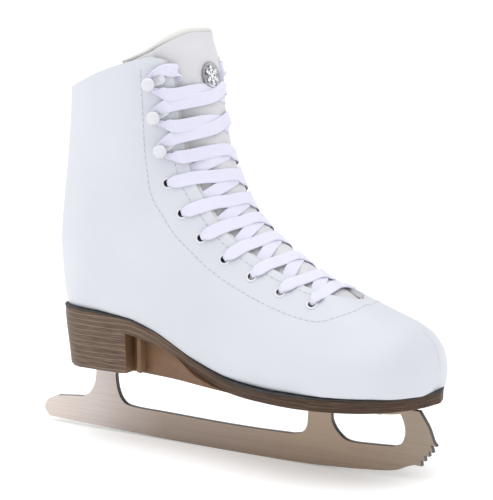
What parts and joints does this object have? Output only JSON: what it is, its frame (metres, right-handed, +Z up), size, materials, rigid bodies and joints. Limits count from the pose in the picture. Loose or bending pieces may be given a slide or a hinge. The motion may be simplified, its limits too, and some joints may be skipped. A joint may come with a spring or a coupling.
{
  "type": "figure ice skate",
  "caption": "Laced figure-skating boot with padded tongue, stacked-look heel and sole, and a steel blade with a toe pick.",
  "frame": {"origin": "middle of the bounding box in X and Y, at the lowest point of the blade", "axes": "+X towards the toe, +Y towards the wearer's left, +Z up"},
  "size_m": [0.305, 0.0966, 0.2763],
  "materials": {
    "blade_steel": "satin brushed",
    "screw_steel": "satin",
    "sole_unit": "satin, moulded to look like stacked leather",
    "welt": "matte",
    "upper_leather": "smooth white coated leather, satin",
    "board": "matte fibre board",
    "foam": "matte foam",
    "lining_fabric": "brushed lining",
    "collar_trim": "soft white",
    "tongue_vinyl": "smooth white, satin",
    "badge_silver": "satin",
    "lace_fabric": "flat woven",
    "white_enamel": "gloss enamel"
  },
  "bodies": {
    "boot": {"blade": "blade_steel", "rear_sole_plate": "blade_steel", "front_sole_plate": "blade_steel", "rear_screw_1": "screw_steel", "rear_screw_2": "screw_steel", "rear_screw_3": "screw_steel", "rear_screw_4": "screw_steel", "front_screw_1": "screw_steel", "front_screw_2": "screw_steel", "front_screw_3": "screw_steel", "front_screw_4": "screw_steel", "front_screw_5": "screw_steel", "front_screw_6": "screw_steel", "outsole_heel_unit": "sole_unit", "welt_rand": "welt", "upper_shell": "upper_leather", "toe_puff": "board", "heel_counter": "board", "insole_board": "board", "ankle_padding": "foam", "lining": "lining_fabric", "footbed": "lining_fabric", "collar_roll": "collar_trim", "tongue": "tongue_vinyl", "tongue_badge": "badge_silver", "lace": "lace_fabric", "lace_hook_right_1": "white_enamel", "lace_hook_right_2": "white_enamel", "lace_hook_right_3": "white_enamel", "lace_hook_left_1": "white_enamel", "lace_hook_left_2": "white_enamel", "lace_hook_left_3": "white_enamel", "eyelet_right_1": "white_enamel", "eyelet_right_2": "white_enamel", "eyelet_right_3": "white_enamel", "eyelet_right_4": "white_enamel", "eyelet_right_5": "white_enamel", "eyelet_right_6": "white_enamel", "eyelet_right_7": "white_enamel", "eyelet_left_1": "white_enamel", "eyelet_left_2": "white_enamel", "eyelet_left_3": "white_enamel", "eyelet_left_4": "white_enamel", "eyelet_left_5": "white_enamel", "eyelet_left_6": "white_enamel", "eyelet_left_7": "white_enamel"},
    "tongue_top": {"tongue_flap": "tongue_vinyl"}
  },
  "joints": [
    {"name": "tongue_fold", "type": "hinge", "parent": "boot", "child": "tongue_top", "pos_m": [-0.0165, 0, 0.2595], "axis": [0, 1, 0], "range_deg": [0, 35], "stiffness_Nm_per_rad": 0.05}
  ]
}
